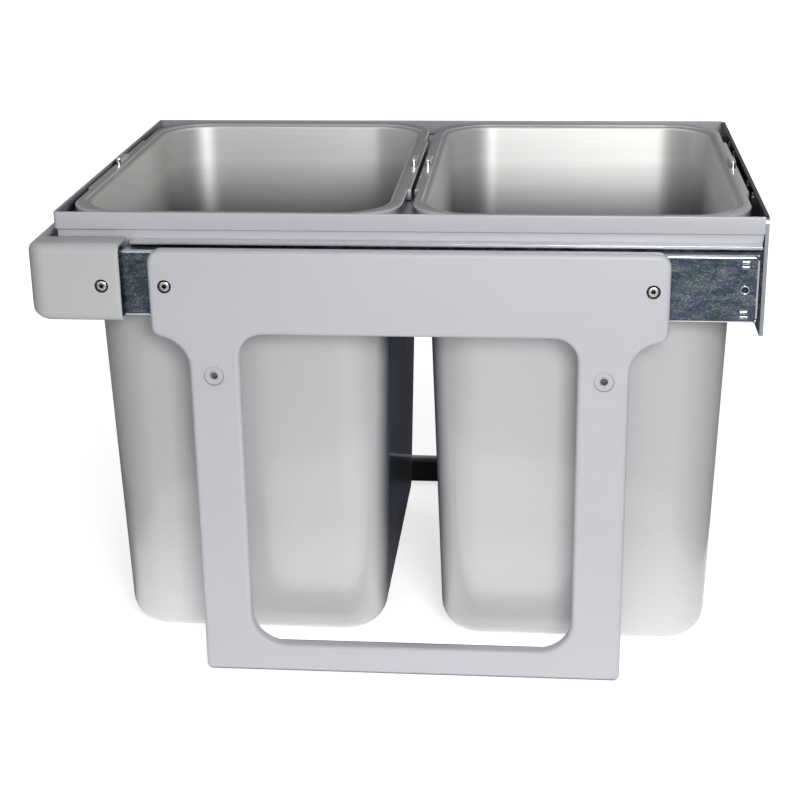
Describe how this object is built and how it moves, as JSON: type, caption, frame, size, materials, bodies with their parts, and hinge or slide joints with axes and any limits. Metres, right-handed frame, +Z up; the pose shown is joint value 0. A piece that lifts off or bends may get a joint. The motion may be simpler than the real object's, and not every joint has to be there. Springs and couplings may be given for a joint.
{
  "type": "pull-out waste bin",
  "caption": "Pull-out cabinet waste bin: lift-out bins hang in a frame that rolls forward on ball slides held by side brackets.",
  "frame": {"origin": "on the cabinet floor, under the middle of the whole unit", "axes": "+X the way the frame travels, towards the cabinet front; +Y to the right of someone who looks in from the front; +Z up"},
  "size_m": [0.486, 0.364, 0.3343],
  "materials": {
    "grey_moulding": "fine satin moulding",
    "frame_paint": "smooth satin paint",
    "slide_zinc": "zinc plated, slightly blue, rolled",
    "carrier_zinc": "zinc plated, dull",
    "plate_zinc": "zinc plated, blue passivated, mottled",
    "rivet_steel": "bright plated",
    "screw_steel": "bright nickel plate",
    "pin_steel": "polished",
    "bin_silver": "silver grey, satin with a soft gloss",
    "ball_steel": "polished",
    "cage_plastic": "natural moulding",
    "black_rubber": "dull"
  },
  "bodies": {
    "fixed_base": {"side_bracket_left": "grey_moulding", "side_bracket_right": "grey_moulding", "foot_rail_strip_left": "black_rubber", "foot_rail_strip_right": "black_rubber", "fixed_rail_left": "slide_zinc", "fixed_rail_right": "slide_zinc", "rear_cover": "grey_moulding", "bracket_screws": "screw_steel", "cover_screws": "screw_steel"},
    "carriage": {"bin_frame": "frame_paint", "cross_bar": "frame_paint", "cross_bar_rivets": "rivet_steel", "carrier_angle_left": "carrier_zinc", "carrier_angle_right": "carrier_zinc", "moving_rail_left": "slide_zinc", "moving_rail_right": "slide_zinc", "carrier_screws": "screw_steel", "carrier_nuts": "screw_steel", "frame_rivets": "rivet_steel", "door_plate": "plate_zinc", "plate_rivets": "rivet_steel", "door_eyelets": "rivet_steel"},
    "middle_left": {"middle_rail_left": "slide_zinc"},
    "middle_right": {"middle_rail_right": "slide_zinc"},
    "outer_cage_left": {"outer_cage_left": "cage_plastic", "outer_balls_left": "ball_steel"},
    "outer_cage_right": {"outer_cage_right": "cage_plastic", "outer_balls_right": "ball_steel"},
    "inner_cage_left": {"inner_cage_left": "cage_plastic", "inner_balls_left": "ball_steel"},
    "inner_cage_right": {"inner_cage_right": "cage_plastic", "inner_balls_right": "ball_steel"},
    "bin_front": {"waste_bin_front": "bin_silver", "ear_pins_front": "pin_steel"},
    "bin_rear": {"waste_bin_rear": "bin_silver", "ear_pins_rear": "pin_steel"}
  },
  "joints": [
    {"name": "carriage_slide", "type": "slide", "parent": "fixed_base", "child": "carriage", "axis": [1, 0, 0], "range_m": [0, 0.45]},
    {"name": "middle_left_slide", "type": "slide", "parent": "fixed_base", "child": "middle_left", "axis": [1, 0, 0], "range_m": [0, 0.225]},
    {"name": "middle_right_slide", "type": "slide", "parent": "fixed_base", "child": "middle_right", "axis": [1, 0, 0], "range_m": [0, 0.225]},
    {"name": "outer_cage_left_slide", "type": "slide", "parent": "fixed_base", "child": "outer_cage_left", "axis": [1, 0, 0], "range_m": [0, 0.1125]},
    {"name": "outer_cage_right_slide", "type": "slide", "parent": "fixed_base", "child": "outer_cage_right", "axis": [1, 0, 0], "range_m": [0, 0.1125]},
    {"name": "inner_cage_left_slide", "type": "slide", "parent": "fixed_base", "child": "inner_cage_left", "axis": [1, 0, 0], "range_m": [0, 0.3375]},
    {"name": "inner_cage_right_slide", "type": "slide", "parent": "fixed_base", "child": "inner_cage_right", "axis": [1, 0, 0], "range_m": [0, 0.3375]},
    {"name": "bin_front_lift", "type": "slide", "parent": "carriage", "child": "bin_front", "axis": [0, 0, 1], "range_m": [0, 0.335]},
    {"name": "bin_rear_lift", "type": "slide", "parent": "carriage", "child": "bin_rear", "axis": [0, 0, 1], "range_m": [0, 0.335]}
  ],
  "couplings": [
    {"joint": "middle_left_slide", "follows": "carriage_slide", "ratio": 0.5},
    {"joint": "middle_right_slide", "follows": "carriage_slide", "ratio": 0.5},
    {"joint": "outer_cage_left_slide", "follows": "carriage_slide", "ratio": 0.25},
    {"joint": "outer_cage_right_slide", "follows": "carriage_slide", "ratio": 0.25},
    {"joint": "inner_cage_left_slide", "follows": "carriage_slide", "ratio": 0.75},
    {"joint": "inner_cage_right_slide", "follows": "carriage_slide", "ratio": 0.75}
  ]
}
